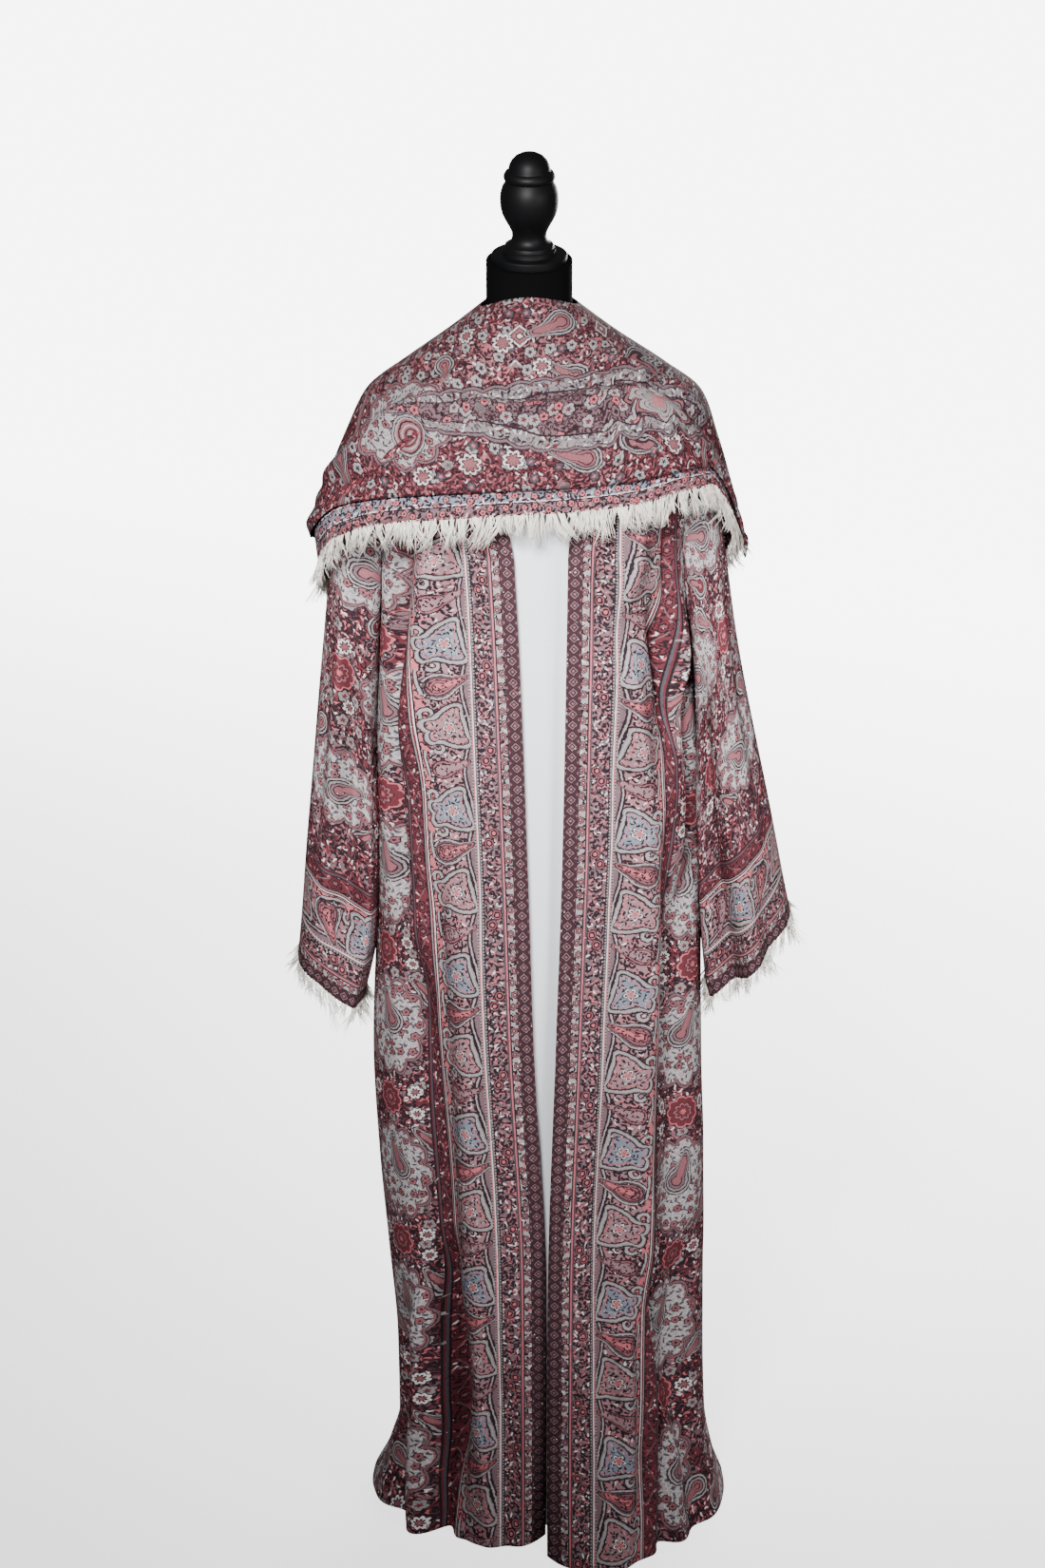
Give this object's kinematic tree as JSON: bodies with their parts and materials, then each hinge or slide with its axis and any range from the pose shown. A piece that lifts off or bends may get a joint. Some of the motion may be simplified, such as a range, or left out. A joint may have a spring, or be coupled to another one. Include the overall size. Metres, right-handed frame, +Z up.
{
  "type": "abaya with shoulder shawl on a limbless dress form and stand",
  "caption": "Long open-front woven paisley abaya with wide fringed sleeves and a fringed shawl round the shoulders, worn by a limbless dress form on a pole stand.",
  "frame": {"origin": "middle of the base plate's underside, on the floor", "axes": "+Z up along the pole, the open front faces -Y, the wearer's left is +X"},
  "size_m": [0.6, 0.4227, 1.6825],
  "materials": {
    "paisley": "woven paisley in mauve, crimson and grey, with small crystals",
    "border": "the same cloth's narrow woven border",
    "fringe": "cream wool fringe",
    "crepe": "plain pale blue-grey crepe",
    "jersey": "black stretch jersey over a padded form",
    "black_wood": "turned wood, black satin lacquer",
    "black_steel": "black powder-coated steel"
  },
  "bodies": {
    "root": {"front_left": "paisley", "front_right": "paisley", "back": "paisley", "sleeve_left": "paisley", "sleeve_right": "paisley", "shawl_upper": "paisley", "shawl_under": "border", "shawl_fringe": "fringe", "cuff_fringe_left": "fringe", "cuff_fringe_right": "fringe", "inner_panel": "crepe", "form_torso": "jersey", "form_finial": "black_wood", "form_pole": "black_steel", "form_base": "black_steel"}
  },
  "joints": []
}
